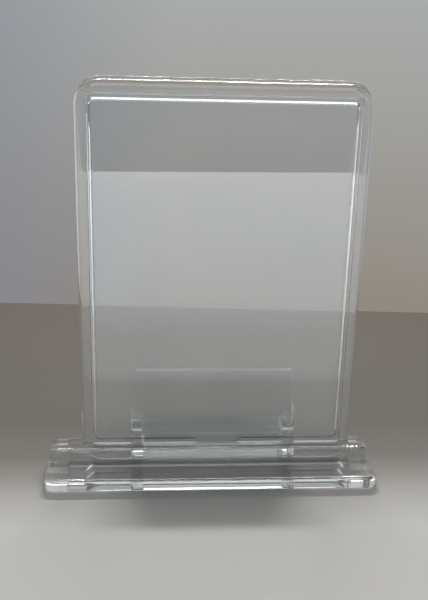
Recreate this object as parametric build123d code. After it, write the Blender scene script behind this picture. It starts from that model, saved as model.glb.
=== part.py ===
from build123d import *
import os

# A clear display case for one trading card, standing in a low slotted base.
# Millimetres. X runs to the right, Y to the back and Z up. The origin is on the
# table, in the middle of the base's length and depth.

os.makedirs("parts", exist_ok=True)

# The case as a whole: a rear tray with a raised frame, closed by a front cover.
CASE_WIDTH = 75.0
CASE_HEIGHT = 103.5
CASE_THICKNESS = 4.3
CASE_CORNER_RADIUS = 6.2
CASE_FRONT_ROUND = 2.2
CASE_BACK_ROUND = 0.8

# The tray's frame, from the case's outline in to the recess for the cover.
FRAME_SIDE = 3.0
FRAME_TOP = 3.8
FRAME_BOTTOM = 4.8
TRAY_BACK_THICKNESS = 1.5

# The tray's back stands a little above its frame, as a ledge to lift the case by.
LEDGE_RISE = 0.7
LEDGE_FRONT_ROUND = 0.5

# The cover's rim, from its own outline in to the card's pocket. The pocket's
# walls slope outwards to the back, and the rim stays just clear of the tray.
COVER_WINDOW_THICKNESS = 1.5
COVER_RIM_SIDE = 1.3
COVER_RIM_TOP = 1.95
COVER_RIM_BOTTOM = 1.7
COVER_CORNER_RADIUS = 0.8
COVER_FRONT_ROUND = 0.5
COVER_FIT = 0.05
COVER_SEAT_GAP = 0.05
POCKET_CORNER_RADIUS = 0.5
POCKET_WALL_SLOPE = 0.75

# The thumb notch in the cover's lower rim, where a nail lifts the card.
NOTCH_MOUTH = 13.0
NOTCH_FLOOR = 11.2

# The base: a plate with a long ridge, and a foot behind the ridge.
BASE_WIDTH = 89.6
BASE_CORNER_RADIUS = 3.0
PLATE_THICKNESS = 3.3
PLATE_TOP_ROUND = 1.0
BASE_BOTTOM_ROUND = 0.7
APRON_DEPTH = 10.8
RIDGE_HEIGHT = 3.55
RIDGE_END_INSET = 0.5
RIDGE_CORNER_RADIUS = 2.0
RIDGE_ROUND = 0.9
FRONT_WALL = 2.15
REAR_WALL = 1.2

# The slot that the case stands in. It is longer than the case, which stands
# against its right end.
SLOT_FLOOR_THICKNESS = 2.3
SLOT_FIT = 0.1
SLOT_END_FIT = 0.1
SLOT_SPARE_LENGTH = 3.8
SLOT_CORNER_RADIUS = 0.6
SLOT_SEAT_GAP = 0.02

# The foot behind the ridge and the socket in it.
FOOT_WIDTH = 46.2
FOOT_DEPTH = 13.5
FOOT_CORNER_RADIUS = 1.2
SOCKET_SIDE_WALL = 3.3
SOCKET_REAR_WALL = 2.5
SOCKET_FIT = 0.1
SOCKET_CORNER_RADIUS = 0.5
SOCKET_SEAT_GAP = 0.05

# The support: a plate behind the case that tapers upwards both ways, with a rib at
# each end, on a root that fills the socket.
SUPPORT_X = 1.0
SUPPORT_RISE = 21.0
SUPPORT_TOP_WIDTH = 43.8
SUPPORT_TOP_THICKNESS = 2.2
SUPPORT_FOOT_THICKNESS = 5.4
SUPPORT_CORNER_RADIUS = 0.8
SUPPORT_EDGE_ROUND = 0.3
RIB_WIDTH = 3.0
RIB_RISE = 9.0
RIB_REACH = 12.6
RIB_END_RISE = 0.8

# Heights and depths that follow from the sizes above.
RIDGE_TOP = PLATE_THICKNESS + RIDGE_HEIGHT
SLOT_WIDTH = CASE_THICKNESS + 2 * SLOT_FIT
SLOT_LENGTH = CASE_WIDTH + 2 * SLOT_END_FIT + SLOT_SPARE_LENGTH
RIDGE_DEPTH = FRONT_WALL + SLOT_WIDTH + REAR_WALL
BAR_DEPTH = APRON_DEPTH + RIDGE_DEPTH
BASE_DEPTH = BAR_DEPTH + FOOT_DEPTH
BASE_FRONT = -BASE_DEPTH / 2
RIDGE_FRONT = BASE_FRONT + APRON_DEPTH
SLOT_FRONT = RIDGE_FRONT + FRONT_WALL
SLOT_BACK = SLOT_FRONT + SLOT_WIDTH
BAR_BACK = BASE_FRONT + BAR_DEPTH
FOOT_BACK = BASE_FRONT + BASE_DEPTH

# The case stands right of the middle by half the slot's spare length.
STANDING_X = SLOT_SPARE_LENGTH / 2
CASE_FRONT = SLOT_FRONT + SLOT_FIT
CASE_BOTTOM = SLOT_FLOOR_THICKNESS + SLOT_SEAT_GAP

RECESS_WIDTH = CASE_WIDTH - 2 * FRAME_SIDE
RECESS_HEIGHT = CASE_HEIGHT - FRAME_TOP - FRAME_BOTTOM
RECESS_BOTTOM = CASE_BOTTOM + FRAME_BOTTOM
COVER_WIDTH = RECESS_WIDTH - 2 * COVER_FIT
COVER_HEIGHT = RECESS_HEIGHT - 2 * COVER_FIT
COVER_BOTTOM = RECESS_BOTTOM + COVER_FIT
RECESS_DEPTH = CASE_THICKNESS - TRAY_BACK_THICKNESS
COVER_THICKNESS = RECESS_DEPTH - COVER_SEAT_GAP
POCKET_WIDTH = COVER_WIDTH - 2 * COVER_RIM_SIDE
POCKET_HEIGHT = COVER_HEIGHT - COVER_RIM_TOP - COVER_RIM_BOTTOM
POCKET_BOTTOM = COVER_BOTTOM + COVER_RIM_BOTTOM
POCKET_DEPTH = COVER_THICKNESS - COVER_WINDOW_THICKNESS

SOCKET_WIDTH = FOOT_WIDTH - 2 * SOCKET_SIDE_WALL
SOCKET_BACK = FOOT_BACK - SOCKET_REAR_WALL
SOCKET_DEPTH = SOCKET_BACK - SLOT_BACK


def upright_slab(width, height, thickness, corner, bottom, front):
    """A slab standing on edge, its corners rounded as seen from the front."""
    outline = RectangleRounded(width, height, corner)
    slab = extrude(Plane.XZ * outline, -thickness)
    return Pos(STANDING_X, front, bottom + height / 2) * slab


def lying_slab(width, depth, bottom, top, corner, x, front):
    """A slab lying flat, its corners rounded as seen from above."""
    outline = RectangleRounded(width, depth, corner)
    slab = extrude(outline, top - bottom)
    return Pos(x, front + depth / 2, bottom) * slab


def stand_base():
    """The plate, its ridge and its foot, with the slot and the socket."""
    plate = lying_slab(BASE_WIDTH, BAR_DEPTH, 0, PLATE_THICKNESS, BASE_CORNER_RADIUS, 0, BASE_FRONT)
    plate = fillet(plate.edges().group_by(Axis.Z)[-1], PLATE_TOP_ROUND)
    plate = fillet(plate.edges().group_by(Axis.Z)[0], BASE_BOTTOM_ROUND)

    ridge_width = BASE_WIDTH - 2 * RIDGE_END_INSET
    ridge = lying_slab(ridge_width, RIDGE_DEPTH, 0, RIDGE_TOP, RIDGE_CORNER_RADIUS, 0, RIDGE_FRONT)
    ridge = fillet(ridge.edges().group_by(Axis.Z)[-1], RIDGE_ROUND)
    ridge = fillet(ridge.edges().group_by(Axis.Z)[0], BASE_BOTTOM_ROUND)

    # The foot reaches under the ridge, so that the two are one piece.
    foot_overlap = REAR_WALL + SLOT_WIDTH
    foot = lying_slab(
        FOOT_WIDTH, FOOT_DEPTH + foot_overlap, 0, RIDGE_TOP, FOOT_CORNER_RADIUS,
        SUPPORT_X, BAR_BACK - foot_overlap,
    )
    foot = fillet(foot.edges().group_by(Axis.Z)[-1], RIDGE_ROUND)
    foot = fillet(foot.edges().group_by(Axis.Z)[0], BASE_BOTTOM_ROUND)

    slot = lying_slab(
        SLOT_LENGTH, SLOT_WIDTH, SLOT_FLOOR_THICKNESS, RIDGE_TOP + RIDGE_HEIGHT,
        SLOT_CORNER_RADIUS, 0, SLOT_FRONT,
    )
    # The socket opens into the slot, so its front corners lie inside the slot.
    socket_overlap = SLOT_WIDTH / 2
    socket = lying_slab(
        SOCKET_WIDTH, SOCKET_DEPTH + socket_overlap, SLOT_FLOOR_THICKNESS, RIDGE_TOP + RIDGE_HEIGHT,
        SOCKET_CORNER_RADIUS, SUPPORT_X, SLOT_BACK - socket_overlap,
    )
    return plate + ridge + foot - slot - socket


def tapered_plate():
    """The support's plate, narrower and thinner towards its top."""
    face = Plane.XZ * Polygon(
        (-FOOT_WIDTH / 2, 0),
        (FOOT_WIDTH / 2, 0),
        (SUPPORT_TOP_WIDTH / 2, SUPPORT_RISE),
        (-SUPPORT_TOP_WIDTH / 2, SUPPORT_RISE),
        align=None,
    )
    side = Plane.YZ * Polygon(
        (0, 0),
        (SUPPORT_FOOT_THICKNESS, 0),
        (SUPPORT_TOP_THICKNESS, SUPPORT_RISE),
        (0, SUPPORT_RISE),
        align=None,
    )
    plate = extrude(face, -SUPPORT_FOOT_THICKNESS) & extrude(side, FOOT_WIDTH / 2, both=True)
    top_corners = plate.faces().sort_by(Axis.Z)[-1].edges().sort_by(Axis.X)
    plate = fillet([top_corners[0], top_corners[-1]], SUPPORT_CORNER_RADIUS)
    front = plate.faces().sort_by(Axis.Y)[0]
    back = plate.faces().sort_by(Axis.Y)[-1]
    upper_edges = (front.edges() + back.edges()).filter_by(lambda e: e.center().Z > SUPPORT_EDGE_ROUND)
    return fillet(upper_edges, SUPPORT_EDGE_ROUND)


def support_rib(middle):
    """A rib that runs from high on the plate down to the back of the foot."""
    side = Plane.YZ * Polygon(
        (SUPPORT_TOP_THICKNESS / 2, 0),
        (RIB_REACH, 0),
        (RIB_REACH, RIB_END_RISE),
        (SUPPORT_TOP_THICKNESS, RIB_RISE),
        (SUPPORT_TOP_THICKNESS / 2, RIB_RISE),
        align=None,
    )
    rib = extrude(side, RIB_WIDTH / 2, both=True)
    slope = rib.faces().filter_by(lambda f: 0.1 < f.normal_at().Z < 0.99)
    long_edges = slope.edges().filter_by(lambda e: e.bounding_box().size.X < RIB_WIDTH / 2)
    rib = fillet(long_edges, SUPPORT_EDGE_ROUND)
    return Pos(middle, 0, 0) * rib


def support_plate():
    """The upright plate behind the case with its ribs, and the root that holds them."""
    rib_middle = (FOOT_WIDTH - RIB_WIDTH) / 2
    upright = tapered_plate() + support_rib(-rib_middle) + support_rib(rib_middle)
    upright = Pos(SUPPORT_X, SLOT_BACK, RIDGE_TOP + SOCKET_SEAT_GAP) * upright

    root = lying_slab(
        SOCKET_WIDTH - 2 * SOCKET_FIT, SOCKET_DEPTH - SOCKET_FIT,
        SLOT_FLOOR_THICKNESS + SOCKET_SEAT_GAP, RIDGE_TOP + SOCKET_SEAT_GAP,
        SOCKET_CORNER_RADIUS, SUPPORT_X, SLOT_BACK,
    )
    return upright + root


def case_tray():
    """The rear half of the case: a back with a frame round its recess."""
    back = upright_slab(
        CASE_WIDTH, CASE_HEIGHT, TRAY_BACK_THICKNESS, CASE_CORNER_RADIUS, CASE_BOTTOM,
        CASE_FRONT + RECESS_DEPTH,
    )
    back = fillet(back.edges().group_by(Axis.Y)[0], LEDGE_FRONT_ROUND)
    back = fillet(back.edges().group_by(Axis.Y)[-1], CASE_BACK_ROUND)
    # The frame reaches into the back as deep as the back's front edge is rounded.
    frame = upright_slab(
        CASE_WIDTH, CASE_HEIGHT - LEDGE_RISE, RECESS_DEPTH + LEDGE_FRONT_ROUND, CASE_CORNER_RADIUS,
        CASE_BOTTOM, CASE_FRONT,
    )
    frame = fillet(frame.edges().group_by(Axis.Y)[0], CASE_FRONT_ROUND)
    recess = upright_slab(
        RECESS_WIDTH, RECESS_HEIGHT, RECESS_DEPTH, COVER_CORNER_RADIUS, RECESS_BOTTOM, CASE_FRONT,
    )
    return back + frame - recess


def thumb_notch():
    """The solid cut from the cover's lower rim, narrower towards its foot."""
    outline = Plane.XZ * Polygon(
        (-NOTCH_FLOOR / 2, -COVER_RIM_BOTTOM),
        (NOTCH_FLOOR / 2, -COVER_RIM_BOTTOM),
        (NOTCH_MOUTH / 2, 0),
        (-NOTCH_MOUTH / 2, 0),
        align=None,
    )
    notch = extrude(outline, -POCKET_DEPTH)
    return Pos(STANDING_X, CASE_FRONT + COVER_WINDOW_THICKNESS, POCKET_BOTTOM) * notch


def card_pocket():
    """The solid cut from the back of the cover, wider at its mouth than at the window."""
    floor = RectangleRounded(POCKET_WIDTH, POCKET_HEIGHT, POCKET_CORNER_RADIUS)
    mouth = RectangleRounded(
        POCKET_WIDTH + 2 * POCKET_WALL_SLOPE, POCKET_HEIGHT + 2 * POCKET_WALL_SLOPE,
        POCKET_CORNER_RADIUS + POCKET_WALL_SLOPE,
    )
    pocket = loft([Plane.XZ * floor, Plane.XZ.offset(-POCKET_DEPTH) * mouth], ruled=True)
    return Pos(STANDING_X, CASE_FRONT + COVER_WINDOW_THICKNESS, POCKET_BOTTOM + POCKET_HEIGHT / 2) * pocket


def front_cover():
    """The front half of the case: a window with a rim behind it."""
    body = upright_slab(
        COVER_WIDTH, COVER_HEIGHT, COVER_THICKNESS, COVER_CORNER_RADIUS, COVER_BOTTOM, CASE_FRONT,
    )
    body = fillet(body.edges().group_by(Axis.Y)[0], COVER_FRONT_ROUND)
    return body - card_pocket() - thumb_notch()


PIECES = {
    "stand_base": stand_base,
    "support_plate": support_plate,
    "case_tray": case_tray,
    "front_cover": front_cover,
}

for name, make in PIECES.items():
    piece = make()
    piece.label = name
    export_step(piece, f"parts/{name}.step")
    size = piece.bounding_box().size
    print(f"{name}: {size.X:.2f} x {size.Y:.2f} x {size.Z:.2f} mm, {len(piece.solids())} solid")
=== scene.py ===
import math

import bpy
from mathutils import Matrix, Vector

bl_info = {
    "name": "Card display case",
    "version": (1, 0, 0),
    "blender": (4, 5, 0),
    "location": "View3D > Sidebar > Card Case",
    "description": "Gives a clear card case and its base their moulded plastic, and sets up the studio",
    "category": "Object",
}

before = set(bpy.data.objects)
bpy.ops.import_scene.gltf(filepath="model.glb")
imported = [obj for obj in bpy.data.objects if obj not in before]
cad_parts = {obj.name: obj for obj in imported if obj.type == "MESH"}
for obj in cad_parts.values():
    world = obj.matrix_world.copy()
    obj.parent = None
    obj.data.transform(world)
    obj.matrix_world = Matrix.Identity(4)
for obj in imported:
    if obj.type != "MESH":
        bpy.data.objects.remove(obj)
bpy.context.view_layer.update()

MM = 0.001

# The photograph's longer side and the focal length that its edges give, both in pixels,
# and the longer side of the camera's sensor in millimetres.
PHOTO_HEIGHT = 600
FOCAL_PIXELS = 806.0
SENSOR_HEIGHT = 36.0
NEAREST_SEEN = 10 * MM

# The marks that the plastic's flow leaves in the mould.
CASE_FLOW_TINT = "#F6F9FB"
STAND_FLOW_TINT = "#F3F6F5"
FLOW_DETAIL = 2.0
FLOW_BEND = 0.6

# What lamplight keeps through an open face, and through an edge.
CASE_SHADES = ("#FAFAFA", "#B8B8B8")
STAND_SHADES = {"stand_base": ("#FFFFFF", "#A0A0A0"), "support_plate": ("#E8E8E8", "#A4A4A4")}
# How far a face's direction goes along the open axis: an edge up to the first, open from the second.
EDGE_TO_OPEN = (0.5, 0.9)

# How far the table lies under the base, so that the two faces don't share one plane.
TABLE_GAP = 0.03 * MM
TABLE_WIDTH = 2.4
TABLE_ROUGHNESS = 0.75
TABLE_SHINE = 0.15
# The table's colour at each depth, from its back edge to the front. It holds painted shade: darker behind the
# case, where shadow lies on the table, and paler in front.
TABLE_PAINTED_SHADE = (
    (145 * MM, "#5E5852"), (25 * MM, "#6C6964"), (3 * MM, "#7C7976"), (-8 * MM, "#989693"),
    (-18 * MM, "#B2B2B1"), (-33 * MM, "#CBCCCB"), (-95 * MM, "#DCDCDC"),
)
# Nearer than the picture reaches, the table's front part glows: a sheet of painted light, no lamp, which the
# case's face mirrors. Its near edge does not glow.
GLOWING_SHEET_SHADES = (
    (-64 * MM, "#000000"), (-66 * MM, "#8A8D91"), (-110 * MM, "#8E9297"), (-160 * MM, "#CCD3DB"),
    (-300 * MM, "#DFE6EE"), (-580 * MM, "#FFFFFF"),
)

# Each lamp's place, its width and its height in metres, and its colour. The long strip lamp above and
# behind draws the thin white lines and the shadow in front.
LAMPS = {
    "strip_lamp": ((0.05, 0.64, 0.53), (0.40, 0.04), "#FFFBF4"),
    "rear_window": ((0, 0.67, 0.555), (0.9, 0.14), "#F8FBFF"),
    "ceiling": ((0, -0.72, 1.25), (1.3, 0.9), "#FFFFFF"),
}

# The walls' shades by the height of the direction looked in, from straight down, -1, to straight up, 1. Their
# bright ends, overhead and far to the right, are painted light: seen through and mirrored in the plastic, but
# lighting nothing.
LEFT_WALL = ((-0.28, "#89888C"), (0.05, "#979A9F"), (0.6, "#C0C2C6"), (1.0, "#F0F0F0"))
RIGHT_WALL = ((-0.28, "#928B82"), (0.05, "#A9ABAA"), (0.6, "#D0D2D2"), (1.0, "#F0F0F0"))
# The bright side far to the right is painted light as well.
BRIGHT_SIDE = "#F0F0EC"
# How far to the right a direction goes where one wall turns into the next.
LEFT_TO_RIGHT = (-0.18, 0.02)
RIGHT_TO_BRIGHT = (0.38, 0.9)
# What lies in front of the case is duller than the wall behind it.
FRONT_TO_BACK = (-0.3, 0.3)
FRONT_STRENGTH = 0.55


def linear(hex_colour):
    """An sRGB hex colour as linear red, green, blue and alpha."""
    channels = [int(hex_colour[i : i + 2], 16) / 255 for i in (1, 3, 5)]
    return [c / 12.92 if c <= 0.04045 else ((c + 0.055) / 1.055) ** 2.4 for c in channels] + [1.0]


def add_node(tree, kind, values=None, links=None, **settings):
    """Adds one node with its settings, its plain values and its links, each by an input's name or number."""
    node = tree.nodes.new(kind)
    for name, value in settings.items():
        setattr(node, name, value)
    for name, value in (values or {}).items():
        node.inputs[name].default_value = value
    for name, source in (links or {}).items():
        tree.links.new(source, node.inputs[name])
    return node


def graded_shades(tree, value, start, end, stops):
    """Shades that follow a place or a direction from start to end. A stop is a value and its shade."""
    share = add_node(tree, "ShaderNodeMapRange", {"From Min": start, "From Max": end}, {"Value": value})
    ramp = add_node(tree, "ShaderNodeValToRGB", None, {"Fac": share.outputs["Result"]})
    elements = ramp.color_ramp.elements
    for index in (0, -1):
        at, colour = stops[index]
        elements[index].position = (at - start) / (end - start)
        elements[index].color = linear(colour)
    for at, colour in stops[1:-1]:
        elements.new((at - start) / (end - start)).color = linear(colour)
    return ramp.outputs["Color"]


def empty_material(name):
    """A new material with nothing but its output, its node tree and that output."""
    material = bpy.data.materials.new(name)
    material.use_nodes = True
    tree = material.node_tree
    tree.nodes.clear()
    return material, tree, add_node(tree, "ShaderNodeOutputMaterial")


def deselect():
    """Nothing is selected or active afterwards."""
    for thing in bpy.context.selected_objects:
        thing.select_set(False)
    bpy.context.view_layer.objects.active = None


class StudioSettings(bpy.types.PropertyGroup):
    """Camera, table and light."""

    camera_place: bpy.props.FloatVectorProperty(
        name="Camera place", description="Where the lens is", subtype="TRANSLATION", unit="LENGTH",
        default=(-15.0 * MM, -206.05 * MM, 112.15 * MM),
    )
    camera_pitch: bpy.props.FloatProperty(
        name="Pitch", description="How far the camera looks down", subtype="ANGLE",
        default=math.radians(17.15),
    )
    camera_yaw: bpy.props.FloatProperty(
        name="Yaw", description="How far the camera is turned to the right", subtype="ANGLE",
        default=math.radians(4.24),
    )
    camera_roll: bpy.props.FloatProperty(
        name="Roll", description="How far the camera leans", subtype="ANGLE", default=math.radians(1.43),
    )
    table_front: bpy.props.FloatProperty(
        name="Table to the front", description="How far the table runs in front", unit="LENGTH",
        default=576 * MM,
    )
    table_back: bpy.props.FloatProperty(
        name="Table to the back", description="How far the table runs behind", unit="LENGTH",
        default=145 * MM,
    )
    table_turn: bpy.props.FloatProperty(
        name="Table turn", description="How far the table's back edge is turned", subtype="ANGLE",
        default=math.radians(-4.0),
    )
    strip_power: bpy.props.FloatProperty(
        name="Strip lamp", description="The long lamp above and behind, in watts", default=6.3,
    )
    window_power: bpy.props.FloatProperty(
        name="Rear window", description="The soft window behind the strip lamp, in watts", default=0.7,
    )
    ceiling_power: bpy.props.FloatProperty(
        name="Ceiling", description="The wide pale ceiling above the front, in watts", default=4.6,
    )
    # The front sheet is painted light, a glow in the table top.
    sheet_light: bpy.props.FloatProperty(
        name="Front sheet", description="How bright the sheet in front of the picture is", default=1.1,
    )
    room_light: bpy.props.FloatProperty(
        name="Room light", description="How bright the room's even light is", default=0.12,
    )


class PlasticSettings(bpy.types.PropertyGroup):
    """The clear plastic of the case and the stand."""

    case_tint: bpy.props.StringProperty(name="Case tint", description="sRGB hex", default="#FCFDFE")
    base_tint: bpy.props.StringProperty(name="Base tint", description="sRGB hex", default="#FBFDFD")
    ior: bpy.props.FloatProperty(name="IOR", description="Of clear polystyrene", default=1.59)
    roughness: bpy.props.FloatProperty(name="Roughness", description="Of the polished mould", default=0.0)
    case_clarity: bpy.props.FloatProperty(
        name="Case clarity", description="The part of the light that the case doesn't scatter", default=0.972,
    )
    base_clarity: bpy.props.FloatProperty(
        name="Base clarity", description="The part of the light that the stand doesn't scatter", default=0.96,
    )
    flow_width: bpy.props.FloatProperty(
        name="Flow mark width", description="From one flow mark of the mould to the next", unit="LENGTH",
        default=22 * MM,
    )


def crystal_plastic(name, tint, flow_tint, clarity, open_axis, shades):
    """Crystal polystyrene from a polished mould.

    It is as clear as glass and very smooth, so its edges gather bright and dark lines from the room.
    Faint flow marks from the mould tint it a little more in some places than in others.
    Lamplight passes well through the faces that look along the open axis, and the edges throw it aside.
    """
    plastic = bpy.context.scene.card_plastic
    open_shade, edge_shade = shades
    material, tree, output = empty_material(name)
    place = add_node(tree, "ShaderNodeTexCoord")
    flow = add_node(
        tree, "ShaderNodeTexNoise",
        {"Scale": 1 / plastic.flow_width, "Detail": FLOW_DETAIL, "Distortion": FLOW_BEND},
        {"Vector": place.outputs["Object"]},
    )
    tinted = add_node(
        tree, "ShaderNodeMix", {"A": linear(tint), "B": linear(flow_tint)}, {"Factor": flow.outputs["Fac"]},
        data_type="RGBA",
    )
    glass = add_node(
        tree, "ShaderNodeBsdfPrincipled",
        {"Roughness": plastic.roughness, "IOR": plastic.ior, "Transmission Weight": clarity},
        {"Base Color": tinted.outputs["Result"]},
    )

    # Lamplight has a stand-in for the clear plastic, which takes part of it away.
    face = add_node(tree, "ShaderNodeNewGeometry")
    facing = add_node(tree, "ShaderNodeSeparateXYZ", None, {"Vector": face.outputs["Normal"]})
    either_way = add_node(
        tree, "ShaderNodeMath", None, {0: facing.outputs[open_axis]}, operation="ABSOLUTE",
    )
    edge, open_face = EDGE_TO_OPEN
    openness = add_node(
        tree, "ShaderNodeMapRange", {"From Min": edge, "From Max": open_face},
        {"Value": either_way.outputs["Value"]},
    )
    shade = add_node(
        tree, "ShaderNodeMix", {"A": linear(edge_shade), "B": linear(open_shade)},
        {"Factor": openness.outputs["Result"]}, data_type="RGBA",
    )
    clear = add_node(tree, "ShaderNodeBsdfTransparent", None, {"Color": shade.outputs["Result"]})
    light_path = add_node(tree, "ShaderNodeLightPath")
    surface = add_node(
        tree, "ShaderNodeMixShader", None,
        {"Fac": light_path.outputs["Is Shadow Ray"], 1: glass.outputs["BSDF"], 2: clear.outputs["BSDF"]},
    )
    tree.links.new(surface.outputs["Shader"], output.inputs["Surface"])
    return material


def dress(node, material):
    """Gives a CAD node its finish."""
    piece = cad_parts[node]
    for slot in piece.material_slots:
        slot.material = material


class CARDCASE_OT_finish_case(bpy.types.Operator):
    """Gives the tray and its cover their clear plastic"""

    bl_idname = "cardcase.finish_case"
    bl_label = "Finish the Case"

    def execute(self, context):
        plastic = context.scene.card_plastic
        for node in ("case_tray", "front_cover"):
            finish = crystal_plastic(
                f"{node}_plastic", plastic.case_tint, CASE_FLOW_TINT, plastic.case_clarity, "Y", CASE_SHADES,
            )
            dress(node, finish)
        return {"FINISHED"}


class CARDCASE_OT_finish_stand(bpy.types.Operator):
    """Gives the base and its support their clear plastic"""

    bl_idname = "cardcase.finish_stand"
    bl_label = "Finish the Stand"

    def execute(self, context):
        plastic = context.scene.card_plastic
        for node, shades in STAND_SHADES.items():
            finish = crystal_plastic(
                f"{node}_plastic", plastic.base_tint, STAND_FLOW_TINT, plastic.base_clarity, "Z", shades,
            )
            dress(node, finish)
        return {"FINISHED"}


def table_material(sheet_light):
    """Matt table top with painted shade, dull behind the case and paler in front of it, and a sheet of
    painted light glowing in its front part.
    """
    material, tree, output = empty_material("table_top")
    place = add_node(tree, "ShaderNodeTexCoord")
    across = add_node(tree, "ShaderNodeSeparateXYZ", None, {"Vector": place.outputs["Object"]})
    depth = across.outputs["Y"]
    # The table's colour carries painted shade: darker towards the back, paler in front.
    shaded_paint = graded_shades(tree, depth, TABLE_PAINTED_SHADE[0][0], TABLE_PAINTED_SHADE[-1][0], TABLE_PAINTED_SHADE)
    top = add_node(
        tree, "ShaderNodeBsdfPrincipled",
        {"Roughness": TABLE_ROUGHNESS, "Specular IOR Level": TABLE_SHINE}, {"Base Color": shaded_paint},
    )
    glow = graded_shades(tree, depth, GLOWING_SHEET_SHADES[0][0], GLOWING_SHEET_SHADES[-1][0], GLOWING_SHEET_SHADES)
    # The sheet is painted light: the table's own glow, which no lamp gives.
    sheet = add_node(tree, "ShaderNodeEmission", {"Strength": sheet_light}, {"Color": glow})
    surface = add_node(
        tree, "ShaderNodeAddShader", None, {0: top.outputs["BSDF"], 1: sheet.outputs["Emission"]},
    )
    tree.links.new(surface.outputs["Shader"], output.inputs["Surface"])
    return material


def make_table(studio):
    """The table top that the object stands on, which belongs to the stage."""
    deselect()
    bpy.ops.mesh.primitive_plane_add(size=1, location=(0, 0, 0))
    table = bpy.context.active_object
    table.name = "table"
    table.scale = (TABLE_WIDTH, studio.table_front + studio.table_back, 1)
    bpy.ops.object.transform_apply(scale=True)
    table.location = (0, (studio.table_back - studio.table_front) / 2, -TABLE_GAP)
    bpy.ops.object.transform_apply(location=True)
    table.rotation_euler = (0, 0, studio.table_turn)
    bpy.ops.object.transform_apply(rotation=True)
    table.data.materials.append(table_material(studio.sheet_light))


def area_lamp(name, power):
    """A soft rectangular lamp that faces the middle of the base."""
    place, (width, height), colour = LAMPS[name]
    data = bpy.data.lights.new(name, "AREA")
    data.shape = "RECTANGLE"
    data.size, data.size_y = width, height
    data.energy = power
    data.color = linear(colour)[:3]
    lamp = bpy.data.objects.new(name, data)
    bpy.context.scene.collection.objects.link(lamp)
    lamp.location = place
    lamp.rotation_euler = (-Vector(place)).to_track_quat("-Z", "Y").to_euler()


def make_camera(studio):
    """The camera at the photograph's viewing angle."""
    data = bpy.data.cameras.new("camera")
    data.sensor_width = SENSOR_HEIGHT
    data.lens = FOCAL_PIXELS / PHOTO_HEIGHT * SENSOR_HEIGHT
    data.clip_start = NEAREST_SEEN
    camera = bpy.data.objects.new("camera", data)
    bpy.context.scene.collection.objects.link(camera)
    yaw, pitch, roll = studio.camera_yaw, studio.camera_pitch, studio.camera_roll
    ahead = Vector((math.sin(yaw) * math.cos(pitch), math.cos(yaw) * math.cos(pitch), -math.sin(pitch)))
    right = Vector((math.cos(yaw), -math.sin(yaw), 0))
    up = right.cross(ahead)
    leaning_right = math.cos(roll) * right + math.sin(roll) * up
    leaning_up = math.cos(roll) * up - math.sin(roll) * right
    turn = Matrix((leaning_right, leaning_up, -ahead)).transposed()
    camera.matrix_world = Matrix.Translation(Vector(studio.camera_place)) @ turn.to_4x4()
    bpy.context.scene.camera = camera


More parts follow.
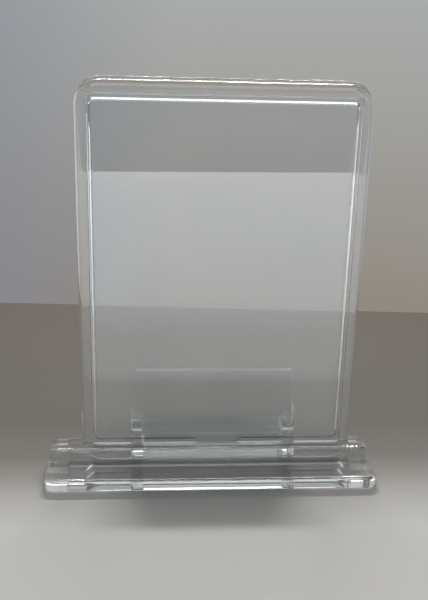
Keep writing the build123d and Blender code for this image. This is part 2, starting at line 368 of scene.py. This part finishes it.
def make_room(studio):
    """The room round the table: cooler to the left, lighter to the right and overhead, dull in front. Its
    brighter shades are painted light, seen and mirrored in the plastic but lighting nothing.
    """
    world = bpy.data.worlds.new("room")
    bpy.context.scene.world = world
    world.use_nodes = True
    tree = world.node_tree
    tree.nodes.clear()
    output = add_node(tree, "ShaderNodeOutputWorld")
    place = add_node(tree, "ShaderNodeTexCoord")
    direction = add_node(tree, "ShaderNodeSeparateXYZ", None, {"Vector": place.outputs["Generated"]})
    side, ahead, height = (direction.outputs[axis] for axis in "XYZ")

    walls = graded_shades(tree, height, -1.0, 1.0, LEFT_WALL)
    right_wall = graded_shades(tree, height, -1.0, 1.0, RIGHT_WALL)
    bright_side = add_node(tree, "ShaderNodeRGB").outputs["Color"]
    bright_side.default_value = linear(BRIGHT_SIDE)
    for (start, end), next_wall in ((LEFT_TO_RIGHT, right_wall), (RIGHT_TO_BRIGHT, bright_side)):
        turning = add_node(tree, "ShaderNodeMapRange", {"From Min": start, "From Max": end}, {"Value": side})
        both = add_node(
            tree, "ShaderNodeMix", None,
            {"Factor": turning.outputs["Result"], "A": walls, "B": next_wall}, data_type="RGBA",
        )
        walls = both.outputs["Result"]

    front, back = FRONT_TO_BACK
    strength = add_node(
        tree, "ShaderNodeMapRange",
        {"From Min": front, "From Max": back, "To Min": FRONT_STRENGTH, "To Max": 1.0}, {"Value": ahead},
    )
    seen = add_node(
        tree, "ShaderNodeBackground", None, {"Color": walls, "Strength": strength.outputs["Result"]},
    )
    light = add_node(
        tree, "ShaderNodeBackground", {"Color": linear("#FFFFFF"), "Strength": studio.room_light},
    )

    # A look sees the walls, also through the plastic or mirrored in it. All else gets the even light.
    path = add_node(tree, "ShaderNodeLightPath")
    looks = path.outputs["Is Camera Ray"]
    for kind in ("Is Transmission Ray", "Is Glossy Ray"):
        either = add_node(
            tree, "ShaderNodeMath", None, {0: looks, 1: path.outputs[kind]}, operation="MAXIMUM",
        )
        looks = either.outputs["Value"]
    room = add_node(
        tree, "ShaderNodeMixShader", None,
        {"Fac": looks, 1: light.outputs["Background"], 2: seen.outputs["Background"]},
    )
    tree.links.new(room.outputs["Shader"], output.inputs["Surface"])


class CARDCASE_OT_build_studio(bpy.types.Operator):
    """Builds the table, the lamps, the room and the camera"""

    bl_idname = "cardcase.build_studio"
    bl_label = "Build the Studio"

    def execute(self, context):
        studio = context.scene.card_studio
        make_table(studio)
        area_lamp("strip_lamp", studio.strip_power)
        area_lamp("rear_window", studio.window_power)
        area_lamp("ceiling", studio.ceiling_power)
        make_room(studio)
        make_camera(studio)
        scene = context.scene
        scene.view_settings.view_transform = "Standard"
        # A look crosses many clear faces, one behind the other.
        scene.cycles.max_bounces = 32
        scene.cycles.transmission_bounces = 32
        scene.cycles.glossy_bounces = 16
        scene.cycles.transparent_max_bounces = 32
        scene.cycles.sample_clamp_indirect = 6.0
        # The lamps already shine through the plastic by its stand-in, so they don't do it a second time.
        scene.cycles.caustics_refractive = False
        scene.cycles.caustics_reflective = False
        return {"FINISHED"}


OPERATORS = (
    CARDCASE_OT_finish_stand,
    CARDCASE_OT_finish_case,
    CARDCASE_OT_build_studio,
)


class CARDCASE_PT_panel(bpy.types.Panel):
    """The case, the stand and the studio, one button each"""

    bl_idname = "CARDCASE_PT_panel"
    bl_label = "Card Display Case"
    bl_space_type = "VIEW_3D"
    bl_region_type = "UI"
    bl_category = "Card Case"

    def draw(self, context):
        for operator in OPERATORS:
            self.layout.operator(operator.bl_idname)


CLASSES = (StudioSettings, PlasticSettings) + OPERATORS + (CARDCASE_PT_panel,)


def register():
    for each in CLASSES:
        bpy.utils.register_class(each)
    bpy.types.Scene.card_studio = bpy.props.PointerProperty(type=StudioSettings)
    bpy.types.Scene.card_plastic = bpy.props.PointerProperty(type=PlasticSettings)


def unregister():
    del bpy.types.Scene.card_plastic
    del bpy.types.Scene.card_studio
    for each in reversed(CLASSES):
        bpy.utils.unregister_class(each)


def main():
    """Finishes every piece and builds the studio."""
    register()
    bpy.ops.cardcase.finish_stand()
    bpy.ops.cardcase.finish_case()
    bpy.ops.cardcase.build_studio()


if __name__ == "__main__":
    main()
